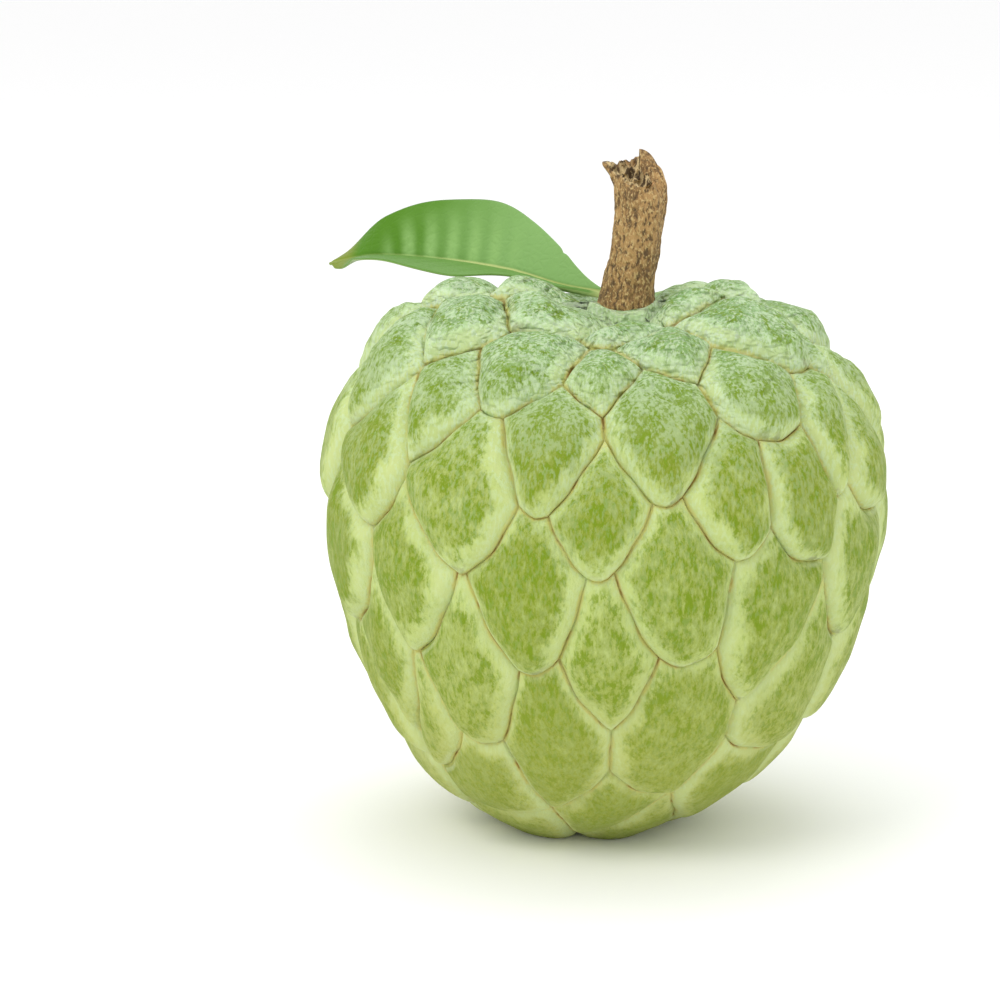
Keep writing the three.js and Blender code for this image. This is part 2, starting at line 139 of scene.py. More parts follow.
def body_point(polar, azimuth):
    """A circle whose radius swells towards the shoulders, carried along a half circle, with a dimple
    pressed in round the stalk, its rim lower at front and back. The shoulders swell at the sides,
    more so on the left, and the whole leans right."""
    radius = BODY_RADIUS * np.sin(polar) * (
        1 + SHOULDER_SHARE * np.cos(polar) + CHEEK_SHARE * np.cos(2 * polar))
    upper = polar < np.pi / 2
    rim = np.exp(-((radius - SADDLE_RADIUS) / SADDLE_WIDTH) ** 2) * (
        1 - np.exp(-(radius / DIMPLE_CORE) ** 2))
    dimple = DIMPLE_DEPTH * np.exp(-(radius / DIMPLE_RADIUS) ** 2)
    saddle = SADDLE_DEPTH * np.cos(2 * azimuth) * np.cos(polar) * rim
    bulge = (BULGE - BULGE_MORE_LEFT * np.sin(azimuth)) * np.sin(azimuth) ** 4 * np.cos(polar)
    bulge = bulge * np.exp(-((radius - BULGE_RADIUS) / BULGE_WIDTH) ** 2)
    height = REST_HEIGHT + BODY_HALF_HEIGHT * np.cos(polar) + upper * (bulge - dimple - saddle)
    lean = LEAN * (1 - ((1 - np.cos(polar)) / 2) ** 5)
    lean = lean + upper * STALK_OFFSET * np.exp(-(radius / STALK_OFFSET_RADIUS) ** 2)
    return np.stack([radius * np.sin(azimuth) + lean, -radius * np.cos(azimuth), height], -1)


def unit(vectors):
    """The same directions at length one."""
    return vectors / np.linalg.norm(vectors, axis=-1, keepdims=True)


def to_sphere(polar, azimuth):
    """A point of a unit sphere. The tangent of half the polar angle is raised to a power below one,
    so that lobes which are tall on the fruit are as tall as they are wide on the sphere."""
    tilt = 2 * np.arctan(np.tan(polar / 2) ** LOBE_STRETCH)
    return np.stack([np.sin(tilt) * np.sin(azimuth), -np.sin(tilt) * np.cos(azimuth), np.cos(tilt)], -1)


def polar_angle(on_sphere):
    """The way back from the unit sphere to the fruit's own polar angle."""
    tilt = np.arccos(np.clip(on_sphere[..., 2], -1, 1))
    return 2 * np.arctan(np.tan(tilt / 2) ** (1 / LOBE_STRETCH))


def skin_point(on_sphere):
    """The body's point that belongs to a point of the unit sphere."""
    return body_point(polar_angle(on_sphere), np.arctan2(on_sphere[..., 0], -on_sphere[..., 1]))


def skin_normal(on_sphere):
    """The outward normal: the cross product of two short steps over the body's surface."""
    step = 0.02
    aside = np.cross([0.0, 1.0, 0.0], on_sphere)
    flat = np.linalg.norm(aside, axis=-1, keepdims=True) < 0.1
    aside = unit(np.where(flat, np.cross([1.0, 0.0, 0.0], on_sphere), aside))
    up = np.cross(on_sphere, aside)
    along = skin_point(unit(on_sphere + step * aside)) - skin_point(unit(on_sphere - step * aside))
    across = skin_point(unit(on_sphere + step * up)) - skin_point(unit(on_sphere - step * up))
    return unit(np.cross(along, across))


# %% [markdown]
# ## Where the lobes stand
# The lobes stand in whorls, each turned about half a lobe against the one above, as on a pine cone.
# The whorls sag at the front, because this fruit is lopsided, and every lobe strays a little from its
# even place, a few of them further. Then the sphere is shared out: each point goes to the nearest lobe,
# and a lobe whose site is moved out from the sphere claims more. The corners where three lobes
# meet are found first, and the borders run between the corners.
# %% Sites
WHORLS = [  # count, drop, turn, sag at the front, rise to the right, crowding at the front
    (6, 12, 12, 3, 0, 8),
    (9, 22, -3, 17, 3, 25),
    (12, 37, 13, 17, 4, 7),
    (12, 53, -1, 17, 4, 3),
    (12, 72, 15, 12, 11, 4),
    (12, 91, 3, 8, 13, -3),
    (12, 109, 20, 8, 5, 0),
    (9, 129, 6, 13, -2, 0),
    (6, 152, 25, 3, 0, 0),
]
SAG_WIDTH = 45
WOBBLE = 1.5
WOBBLE_PACE_ASIDE = 4.9
WOBBLE_PACE_DOWN = 3.8
TOP_LOBE = 0.5
LAST_LOBE = 179.5
NEAR_COSINE = 0.5
STRAYS = [  # lobe number, degrees aside, degrees down, growth
    (1, 2, 0, -0.018),
    (6, 0, 0, 0.004),
    (8, 1, -3, -0.002),
    (9, 5, 2, 0.016),
    (15, 3, 1, 0.006),
    (16, 0, 0, 0.013),
    (17, 0, -1, 0.01),
    (18, 4, 0, -0.012),
    (26, 0, 1, 0),
    (27, 3, -1, 0.01),
    (28, 1, -5, 0.004),
    (29, 0, 2, 0.006),
    (31, 0, 0, -0.003),
    (39, -1, -2, 0.008),
    (40, 0, 2, 0.008),
    (41, 0, -4, 0.003),
    (50, -1, 0, 0),
    (51, -1, 0, 0.002),
    (53, 0, 1, 0.003),
    (63, -5, 0, 0.005),
    (64, -2, 2, 0.006),
    (74, -4, 0, -0.008),
    (75, -1, 0, 0.003),
    (76, 0, 2, -0.006),
    (77, 0, 1, 0),
]


def lobe_sites():
    """Even azimuths in every whorl, closed up at the front by a sine, plus a small wobble by the
    lobe's number; polar angles from the whorl's drop, with a sag that fades away from the front."""
    count = np.concatenate([np.full(whorl[0], whorl[0]) for whorl in WHORLS])
    place = np.concatenate([np.arange(whorl[0]) for whorl in WHORLS])
    drop, turn, sag, rise, crowd = np.repeat(
        np.array([whorl[1:] for whorl in WHORLS], float), [whorl[0] for whorl in WHORLS], axis=0).T
    number = 1 + np.arange(len(count))
    even = turn + 360 / count * place
    azimuth = even - crowd * np.sin(np.radians(even)) + WOBBLE * np.sin(WOBBLE_PACE_ASIDE * number)
    from_front = (azimuth + 540) % 360 - 180
    polar = (drop + sag * np.exp(-(from_front / SAG_WIDTH) ** 2)
             - rise * np.sin(np.radians(azimuth)) + WOBBLE * np.sin(WOBBLE_PACE_DOWN * number))
    polar = np.concatenate([[TOP_LOBE], polar, [LAST_LOBE]])
    azimuth = np.concatenate([[0], azimuth, [0]])
    stray = np.zeros((len(polar), 3))
    stray[[entry[0] for entry in STRAYS]] = [entry[1:] for entry in STRAYS]
    aside, more, growth = stray.T
    return to_sphere(np.radians(polar + more), np.radians(azimuth + aside)) * (1 + growth[:, None])


def lobe_corners(sites):
    """Triples of lobes whose plane leaves every other lobe on one side: the corners are the
    directions of those planes' normals."""
    triples = np.array(list(itertools.combinations(range(len(sites)), 3)))
    a, b, c = (sites[triples[:, k]] for k in range(3))
    near = ((a * b).sum(-1) > NEAR_COSINE) & ((a * c).sum(-1) > NEAR_COSINE)
    triples, a, b, c = triples[near], a[near], b[near], c[near]
    normal = unit(np.cross(b - a, c - a))
    reach = (normal * a).sum(-1, keepdims=True)
    normal, reach = normal * np.sign(reach), np.abs(reach)
    empty = (normal @ sites.T > reach + 1e-9).sum(-1) == 0
    return normal[empty], triples[empty]


sites = lobe_sites()
corners, corner_lobes = lobe_corners(sites)
print(len(sites), "lobes with", len(corners), "corners")

# %% [markdown]
# ## The borders
# A border cut straight from corner to corner would look like a cracked pane of glass. On the
# fruit the lower end of a lobe is round and lies over the lobe below, so each border bows
# downwards, the more so the more squarely one lobe stands above the other, and wanders a little.
# %% Borders
BORDER_STEP = 0.95
BOW = 0.16
STRAY = 0.014
SWAY_TURNS = 1.5
SWAY_SHIFT = 0.37


def lobe_borders():
    """Borders join corners that share two lobes. Each is an arc from corner to corner, bowed by a
    parabola towards the lower lobe and swayed by one slow wave, cut into steps of equal length.
    Returns the points, and each border as its first corner, last corner, two lobes and own points."""
    member = np.zeros((len(corners), len(sites)), int)
    np.put_along_axis(member, corner_lobes, 1, axis=1)
    ends = np.argwhere(np.triu(member @ member.T == 2, 1))
    points = [corners]
    total = len(corners)
    borders = []
    for number, (first, last) in enumerate(ends):
        lobes = np.flatnonzero(member[first] * member[last])
        upper, lower = lobes[np.argsort(polar_angle(sites[lobes]))]
        start, end = corners[first], corners[last]
        length = np.linalg.norm(skin_point(start) - skin_point(end))
        steps = max(2, round(length / BORDER_STEP))
        share = np.arange(1, steps)[:, None] / steps
        straight = unit(start + (end - start) * share)
        downwards = unit(sites[lower] - sites[upper])
        squareness = abs((unit(skin_point(sites[upper]) - skin_point(sites[lower])))[2]) ** 3
        chord = np.linalg.norm(end - start)
        bow = BOW * squareness * 4 * share * (1 - share)
        turn = 2 * np.pi * (share * SWAY_TURNS + SWAY_SHIFT * number)
        sway = STRAY * np.sin(np.pi * share) * np.sin(turn)
        points.append(unit(straight + downwards * chord * (bow + sway)))
        inner = np.arange(total, total + steps - 1)
        total += steps - 1
        borders.append((first, last, lobes, inner))
    return np.concatenate(points), borders


border_points, borders = lobe_borders()
print(len(borders), "borders,", len(border_points), "points on them")

# %% [markdown]
# ## The skin
# One lobe is a stack of rings, each the border drawn in towards the middle. The rings lie close
# together at the border, where the skin is steep, and wide apart on the crown. How high a ring's
# point stands depends on how far it is from the border all round, so the crown is smooth and
# the corners are rounded off. The lower end is lifted and steep, and the upper end is tucked in.
# Neighbours share the points of their border, so the whole skin is one closed mesh.
# %% Relief
GROOVE_SHOULDER = 3.1
GROOVE_FLANK = 2.0
GROOVE_TIP = 1.2
SHOULDER_TO_FLANK = (35, 80)
FLANK_TO_TIP = (90, 140)
STALK_FADE = (4, 14)
REST_FADE = (156, 172)
SLIT = 0.4
SLIT_WIDTH = 0.25
SLOPE = 1.7
SLOPE_MORE = 0.8
SLOPE_FADE = (35, 70)
SLOPE_STEEPER = 0.45
CROWN = 1.1
CROWN_REACH = 3.4
MOST_SWELL = 1.15
SHINGLE = 0.8
SHINGLE_REACH = 1.4
OVERHANG = 0.35
OVERHANG_REACH = 0.3
OVERHANG_END = 3
RINGS = (0.02, 0.045, 0.08, 0.125, 0.18, 0.245, 0.32, 0.405, 0.5, 0.6, 0.71, 0.83)
SOFT_REACH = 1.5
LUMP_HEIGHT = 0.22
LUMP_LENGTH = 9.0
WRINKLE_HEIGHT = 0.16
WRINKLE_LENGTH = 3.2
WRINKLE_FADE = (38, 62)
FACING_FRONT = 0.15
FACING_SIDE = 1.6
FRONT_REACH = 8
LEAST_GAP = 0.02


def smoothstep(value, start, end):
    """Zero before start, one after end, and an S-shaped rise between."""
    share = np.clip((value - start) / (end - start), 0, 1)
    return share * share * (3 - 2 * share)


def waves(points, length, count, seed, squeeze=(1, 1, 1)):
    """Natural unevenness: the mean of plane sine waves with random directions and phases, about
    one wave `length` apart. `squeeze` packs the waves closer along an axis. About -1 to 1."""
    draw = np.random.default_rng(seed)
    directions = unit(draw.normal(size=(count, 3))) * np.array(squeeze)
    pace = 2 * np.pi / length * draw.uniform(0.7, 1.4, count)
    phase = draw.uniform(0, 2 * np.pi, count)
    return np.sin(points @ directions.T * pace + phase).sum(-1) / math.sqrt(count)


def groove_depth(polar):
    """Deepest on the shoulders, shallower down the flanks, and none by the stalk and on the
    resting spot."""
    degrees = np.degrees(polar)
    depth = GROOVE_SHOULDER + (GROOVE_FLANK - GROOVE_SHOULDER) * smoothstep(degrees, *SHOULDER_TO_FLANK)
    depth = depth + (GROOVE_TIP - GROOVE_FLANK) * smoothstep(degrees, *FLANK_TO_TIP)
    return depth * smoothstep(degrees, *STALK_FADE) * (1 - smoothstep(degrees, *REST_FADE))


def nearness(points, border, step):
    """Distance to the border all round: the sum over it of 1 / distance^4, turned back into a
    length. Beside a long straight border this is the plain distance; in a corner it is less."""
    gaps = np.linalg.norm(points[:, None] - border[None], axis=-1)
    return ((step / (gaps ** 2 + LEAST_GAP) ** 2).sum(-1) / (np.pi / 2)) ** (-1 / 3)


# %% Skin mesh
def fruit_skin():
    """Every lobe: rings r of the border drawn in by a share, then one point in the middle.
    lift = swell * crown (1 - exp(-d / crown reach)) - slit exp(-d / slit width)
    - (depth - slit) exp(-d / slope) + swell * shingle * down (1 - exp(-d / shingle reach)),
    where d is the nearness, and down runs from -1 at the upper end to 1 at the lower end. Near the
    border the lower end also hangs over, outwards from the lobe's middle. The soft lumps are long
    waves, and the wrinkles on the shoulders are shorter waves added to them."""
    border_polar = polar_angle(border_points)
    border_normal = skin_normal(border_points)
    border_place = skin_point(border_points) - border_normal * groove_depth(border_polar)[:, None]
    border_skin = skin_point(border_points)
    places, faces = [border_place], []
    none = np.zeros(len(border_points))
    layers = {"edge": [none], "down": [none], "front": [none], "tint": [none], "polar": [border_polar]}
    total = len(border_points)
    tint_draw = np.random.default_rng(7).uniform(-1, 1, len(sites))
    for lobe, site in enumerate(sites):
        chain = border_round(lobe)
        around = border_points[chain]
        middle = unit(around.mean(0))
        middle_polar = polar_angle(middle)
        drawn_in = np.array(RINGS)[:, None, None]
        rings = unit(around[None] * (1 - drawn_in) + middle * drawn_in).reshape(-1, 3)
        rings = np.vstack([rings, middle])
        flat = skin_point(rings)
        steps = np.linalg.norm(border_skin[chain] - np.roll(border_skin[chain], -1, 0), axis=-1)
        steps = (steps + np.roll(steps, 1)) / 2
        d = nearness(flat, border_skin[chain], steps)
        polar = polar_angle(rings)
        reach = np.abs(polar_angle(around) - middle_polar).max()
        down = np.clip((polar - middle_polar) / reach, -1, 1)
        rightwards = unit(np.array([-middle[1], middle[0], 0]) + 1e-9)
        facing = np.clip(FACING_FRONT - FACING_SIDE * rightwards[1], -1, 1)
        depth = groove_depth(middle_polar)
        swell = min(depth / GROOVE_FLANK, MOST_SWELL)
        slope = SLOPE + SLOPE_MORE * (1 - smoothstep(np.degrees(middle_polar), *SLOPE_FADE))
        slope = slope * (1 - SLOPE_STEEPER * down)
        slit = SLIT * depth / (depth + 0.3)
        lift = (swell * CROWN * (1 - np.exp(-d / CROWN_REACH)) - slit * np.exp(-d / SLIT_WIDTH)
                - (depth - slit) * np.exp(-d / slope)
                + swell * SHINGLE * down * (1 - np.exp(-d / SHINGLE_REACH)))
        soft = 1 - np.exp(-d / SOFT_REACH)
        lift = lift + soft * swell * LUMP_HEIGHT * waves(flat, LUMP_LENGTH, 24, 3)
        shoulder = 1 - smoothstep(np.degrees(polar), *WRINKLE_FADE)
        wrinkles = waves(flat, WRINKLE_LENGTH, 32, 5, (0.6, 0.6, 1.6))
        lift = lift + soft * shoulder * WRINKLE_HEIGHT * wrinkles
        normal = skin_normal(rings)
        outwards = unit(flat - skin_point(middle[None]) + 1e-6)
        lip = OVERHANG * swell * np.clip(down, 0, 1) * (d / OVERHANG_REACH)
        lip = np.where(d < OVERHANG_END, lip * np.exp(1 - d / OVERHANG_REACH), 0)
        place = flat + normal * lift[:, None] + outwards * lip[:, None]
        count = len(chain)
        own = total + np.arange(len(RINGS) * count).reshape(len(RINGS), count)
        ring_ids = np.vstack([chain, own])
        inner, outer = ring_ids[1:], ring_ids[:-1]
        quads = np.stack([outer, np.roll(outer, -1, 1), np.roll(inner, -1, 1), inner], -1)
        faces += quads.reshape(-1, 4).tolist()
        top = total + len(RINGS) * count
        last = ring_ids[-1]
        faces += np.stack([last, np.roll(last, -1), np.full(count, top)], -1).tolist()
        total = top + 1
        places.append(place)
        layers["edge"].append(d)
        layers["down"].append(down)
        layers["front"].append(np.clip((flat - flat[-1]) @ rightwards / FRONT_REACH, -1, 1) * facing)
        layers["tint"].append(np.full(len(d), tint_draw[lobe]))
        layers["polar"].append(polar)
    places = np.concatenate(places)
    places[:, 2] = np.maximum(places[:, 2], 0)
    return places, faces, {name: np.concatenate(parts) for name, parts in layers.items()}


def border_round(lobe):
    """The lobe's corners and the border points between them, in order, seen from outside and
    running anticlockwise."""
    links = {}
    for first, last, lobes, inner in borders:
        if lobe in lobes:
            links.setdefault(first, []).append((last, inner))
            links.setdefault(last, []).append((first, inner[::-1]))
    start = next(iter(links))
    chain, here, before = [], start, None
    while before is None or here != start:
        following = [link for link in links[here] if link[0] != before][0]
        chain += [here, *following[1]]
        before, here = here, following[0]
    around = border_points[chain]
    turn = np.cross(around, np.roll(around, -1, 0)).sum(0) @ sites[lobe]
    return np.array(chain if turn > 0 else chain[::-1])


def make_piece(name, points, faces, layers=None, uvs=None):
    """A smooth mesh object at the origin from points in millimetres, with named point values."""
    mesh = bpy.data.meshes.new(name)
    mesh.from_pydata((points * MM).tolist(), [], faces, shade_flat=False)
    for layer, values in (layers or {}).items():
        attribute = mesh.attributes.new(layer, "FLOAT", "POINT")
        attribute.data.foreach_set("value", np.asarray(values, np.float32))
    if uvs is not None:
        corner_point = np.empty(len(mesh.loops), np.int32)
        mesh.loops.foreach_get("vertex_index", corner_point)
        mesh.uv_layers.new(name="uv").data.foreach_set("uv", uvs[corner_point].astype(np.float32).ravel())
    piece = bpy.data.objects.new(name, mesh)
    scene.collection.objects.link(piece)
    triangles = sum(len(face) - 2 for face in faces)
    print(name, "has", len(points), "points and", triangles, "triangles")
    return piece


skin_places, skin_faces, skin_layers = fruit_skin()
fruit = make_piece("custard_apple_skin", skin_places, skin_faces, skin_layers)

# %% [markdown]
# ## Materials
# Every finish is worked out by nodes. Writing node after node hides what is meant, so numbers that
# travel through the nodes are wrapped in a small class: a sum or product of two of them adds the
# Math node. Everything else comes from one method that takes a node's type, settings and inputs.
# %% Node tools
class Field:
    """A value that varies over a surface. Operators on it add Math nodes to its material."""

    def __init__(self, shader, socket):
        self.shader = shader
        self.socket = socket

    def math(self, operation, *values):
        return self.shader.node("ShaderNodeMath", {"operation": operation}, dict(enumerate(values)))

    def __add__(self, other):
        return self.math("ADD", self, other)

    def __radd__(self, other):
        return self.math("ADD", other, self)

    def __sub__(self, other):
        return self.math("SUBTRACT", self, other)

    def __rsub__(self, other):
        return self.math("SUBTRACT", other, self)

    def __mul__(self, other):
        return self.math("MULTIPLY", self, other)

    def __abs__(self):
        return self.math("ABSOLUTE", self)

    def step(self, start, end):
        """0 before start, 1 after end, and an S-shaped rise or fall between."""
        low, high = min(start, end), max(start, end)
        first, last = (0, 1) if start < end else (1, 0)
        return self.shader.node(
            "ShaderNodeMapRange", {"interpolation_type": "SMOOTHSTEP"},
            {"Value": self, "From Min": low, "From Max": high, "To Min": first, "To Max": last})


class Shader:
    """One material, made of nodes."""

    def __init__(self, name):
        self.material = bpy.data.materials.new(name)
        self.material.use_nodes = True
        self.tree = self.material.node_tree
        self.tree.nodes.clear()
        self.place = self.node("ShaderNodeTexCoord", output="Object")

    def node(self, kind, settings=None, inputs=None, output=0):
        """Adds a node of a type, sets its settings, then its inputs, and gives one output."""
        made = self.tree.nodes.new(kind)
        for name, value in (settings or {}).items():
            setattr(made, name, value)
        for name, value in (inputs or {}).items():
            if isinstance(value, Field):
                self.tree.links.new(value.socket, made.inputs[name])
            else:
                made.inputs[name].default_value = value
        return Field(self, made.outputs[output]) if len(made.outputs) else None

    def layer(self, name):
        """A point value that the mesh carries."""
        return self.node("ShaderNodeAttribute", {"attribute_name": name}, output="Fac")

    def noise(self, size, detail=2.0, squeeze=(1, 1, 1), rough=0.5, shift=0.0):
        """Soft noise with grains about `size` millimetres across, from 0 to 1."""
        scale = [factor / (size * MM) for factor in squeeze]
        spread = self.node("ShaderNodeMapping", None,
                           {"Vector": self.place, "Scale": scale, "Location": (shift, shift, shift)})
        return self.node("ShaderNodeTexNoise", None,
                         {"Vector": spread, "Scale": 1.0, "Detail": detail, "Roughness": rough})

    def mix(self, share, first, second):
        """The first colour where share is 0, the second where it is 1."""
        first, second = ((*c, 1) if isinstance(c, tuple) else c for c in (first, second))
        return self.node("ShaderNodeMix", {"data_type": "RGBA"},
                         {0: share, 6: first, 7: second}, output=2)

    def bump(self, height, depth, below=None):
        """Relief of a given depth in millimetres, over another bump."""
        inputs = {"Height": height, "Strength": 1.0, "Distance": depth * MM}
        if below is not None:
            inputs["Normal"] = below
        return self.node("ShaderNodeBump", None, inputs)

    def finish(self, **inputs):
        """The surface shader. Plain numbers go straight into its sockets."""
        named = {name.replace("_", " "): value for name, value in inputs.items()}
        surface = self.node("ShaderNodeBsdfPrincipled", None, named)
        self.node("ShaderNodeOutputMaterial", None, {"Surface": surface})
        return self.material


# %% [markdown]
# ## The floor's finish
# Plain matt paper, pale enough that the fruit stands alone.
# %% Floor finish
paper = Shader("floor_paper")
PAPER = (0.97, 0.97, 0.97)
floor_mesh.materials.append(paper.finish(Base_Color=(*PAPER, 1), Roughness=0.9))

# %% [markdown]
# ## The skin's finish
# A lobe isn't one green. Its crown is deep green with bright flecks, it pales softly to mint and cream
# towards its border, most of all on the side turned to the fruit's front, and a white waxy bloom is
# sprinkled over it. The border is a thin ochre line where the lobes' skins meet, brown in places.
# The shoulders are blue-green, wrinkled and frosted, the tip is yellow-green and smooth. The mesh
# carries how far each point is from the border, so one formula serves all the lobes. Painting each
# lobe by hand would give the same look, but one change of mind would mean painting them all again.
# %% Skin finish
PALE_SHOULDER = (0.46, 0.63, 0.34)
PALE_FLANK = (0.46, 0.55, 0.18)
PALE_TIP = (0.44, 0.48, 0.13)
DEEP_SHOULDER = (0.17, 0.32, 0.10)
DEEP_FLANK = (0.20, 0.26, 0.01)
DEEP_TIP = (0.27, 0.32, 0.04)
FLECK = (0.16, 0.26, 0.002)
FROST = (0.55, 0.68, 0.44)
CREAM = (0.54, 0.62, 0.27)
RIM_HIGHLIGHT = (0.66, 0.74, 0.46)
BROWN_CREASE = (0.34, 0.20, 0.04)
OCHRE_CREASE = (0.60, 0.54, 0.16)
DARK_TIP = (0.20, 0.21, 0.10)

skin = Shader("fruit_skin")
edge = skin.layer("edge")
down = skin.layer("down")
front = skin.layer("front")
tint = skin.layer("tint")
polar = skin.layer("polar") * (180 / math.pi)
upper = polar.step(68, 22)
lower = polar.step(85, 135)

patches = skin.noise(6.0, 3)
clumps = skin.noise(2.6, 3, (1, 1, 0.6), 0.6, 6.0)
mottle = skin.noise(0.8, 4, (1, 1, 0.45), 0.75)
specks = skin.noise(0.5, 3, (1, 1, 0.4), 0.6, 4.0)

pale = skin.mix(lower, skin.mix(upper, PALE_FLANK, PALE_SHOULDER), PALE_TIP)
deep = skin.mix(lower, skin.mix(upper, DEEP_FLANK, DEEP_SHOULDER), DEEP_TIP)
centre = (edge + patches * 5 - 2.5 - front * 1.5 - down * 0.4 + upper * 0.6).step(-0.5, 3.0)
depth = mottle * 1.7 + clumps * 0.9 + specks * 0.6 + centre * 1.15 + tint * 0.16 - 1.76
colour = skin.mix(depth.step(0.1, 1.25), pale, deep)
flecks = (mottle * 0.9 + clumps * 0.5).step(0.70, 0.80) * centre * (1 - lower * 0.6)
colour = skin.mix(flecks * 0.8, colour, FLECK)
band = (edge - front * 1.2 + patches * 4 + mottle * 1.5 - 2.75).step(1.3, 0.0)
colour = skin.mix(band * (0.4 + front * 0.35 - upper * 0.25), colour, CREAM)
frost = (specks - clumps * 0.3 + patches * 0.3).step(0.44, 0.60)
frost = frost * (0.7 - centre * 0.35 + upper * 0.45) * (0.25 + polar.step(100, 30) * 0.65)
colour = skin.mix(frost, colour, FROST)

# Painted highlight: a pale whitish line along each lobe's raised lip, mostly at its lower end, where the
# edge would catch the light.
outer = (down * 0.7 - front * 1.2 + clumps * 3 - 1.5).step(0.1, 0.9)
lip = edge.step(0.4, 0.65) * edge.step(1.3, 0.8) * outer
colour = skin.mix(lip * 0.3, colour, RIM_HIGHLIGHT)
dark_tip = down.step(0.72, 0.95) * clumps.step(0.52, 0.66) * edge.step(1.6, 0.8)
colour = skin.mix(dark_tip * 0.6, colour, DARK_TIP)
wander = skin.noise(4.0, 2, shift=3.0)
line = (edge + specks * 0.5).step(0.85, 0.45) * (wander + upper * 0.1).step(0.34, 0.54) * polar.step(12, 18)
colour = skin.mix(line * 0.65, colour, OCHRE_CREASE)
age = (skin.noise(4.0, 2, shift=9.0) + down * down * 0.12).step(0.52, 0.66)
colour = skin.mix(line * age * edge.step(0.32, 0.1) * 0.9, colour, BROWN_CREASE)

relief = skin.bump(mottle * 0.5 + specks * 0.5, 0.3)
folds = abs(skin.noise(2.6, 2, (0.7, 0.7, 1.2), 0.5, 7.0) * 2 - 1)
relief = skin.bump(folds * upper, 2.0, relief)
fruit.data.materials.append(skin.finish(
    Base_Color=colour, Roughness=0.5 + specks * 0.2, Normal=relief, Subsurface_Weight=0.12,
    Subsurface_Radius=(0.004, 0.005, 0.0015), Subsurface_Scale=0.6, Specular_IOR_Level=0.2))
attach(fruit, "root")
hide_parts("fruit")

# %% [markdown]
# ## The stalk
# The stalk is a stub of twig: round, slightly bent, rough with lengthwise bark, and torn at the
# top, where a flap of bark folds over from the right and a splinter points left. It is a profile
# carried along a path: rings of points whose radius and height follow formulas, closed by rings
# that run inwards over the torn wood. Carving by hand would give less even bark.
# %% Stalk
STALK_UP = (-2.5, 0.0, 2.2, 4.5, 9.4, 14.6, 18.0, 20.8)
STALK_OUT = (0.0, 0.1, 0.3, 0.6, 1.5, 2.1, 2.2, 1.9)
STALK_RADIUS = (3.9, 4.3, 4.15, 3.95, 3.8, 3.95, 3.9, 3.75)
STALK_SPANS = len(STALK_UP) - 1
STALK_SIDES = 160
STALK_RINGS = 150
STALK_RIDGES = 7
STALK_RIDGE_HEIGHT = 0.14
STALK_TWIST = 0.12
STALK_FLARE = 0.10
STALK_FLARE_UP = 2.5
BARK_HEIGHT = 0.10
BARK_FINE_HEIGHT = 0.05
STALK_TEAR = 2.0
STALK_TEAR_TURN = 2.0
STALK_SPUR = 1.9
STALK_SPUR_RISE = 0.5
STALK_SPUR_WIDTH = 0.35
STALK_SPUR_ANGLE = 3.05
FLAP_TURN = 0.45
FLAP_EDGES = (0.35, 0.85)
FLAP_RISE = 3.1
FLAP_ARCH = 2.3
FLAP_FOLD = 0.95
FLAP_SPANS = 2
FOLD_SPANS = 1.5
STALK_HOLLOW = 1.5
TORN_RINGS = 14
foot = body_point(np.array(0.0), np.array(0.0))


def spline(shares, values):
    """A smooth line through evenly spaced values: between two of them, the cubic whose slopes are
    those of the chords from neighbour to neighbour (a Catmull-Rom spline)."""
    values = np.asarray(values, float)
    padded = np.concatenate([[2 * values[0] - values[1]], values, [2 * values[-1] - values[-2]]])
    place = shares * (len(values) - 1)
    start = np.minimum(place.astype(int), len(values) - 2)
    t = (place - start).reshape(-1, *[1] * (values.ndim - 1))
    a, b, c, d = (padded[start + k] for k in range(4))
    return b + t / 2 * (c - a + t * (2 * a - 5 * b + 4 * c - d + t * (3 * (b - c) + d - a)))


def grid_faces(rows, columns, closed):
    """Quads between rows of points; closed rows come back to their first point."""
    across = np.arange(columns if closed else columns - 1)
    beside = (across + 1) % columns
    low = np.arange(rows - 1)[:, None] * columns
    return np.stack([low + across, low + beside, low + columns + beside, low + columns + across],
                    -1).reshape(-1, 4)


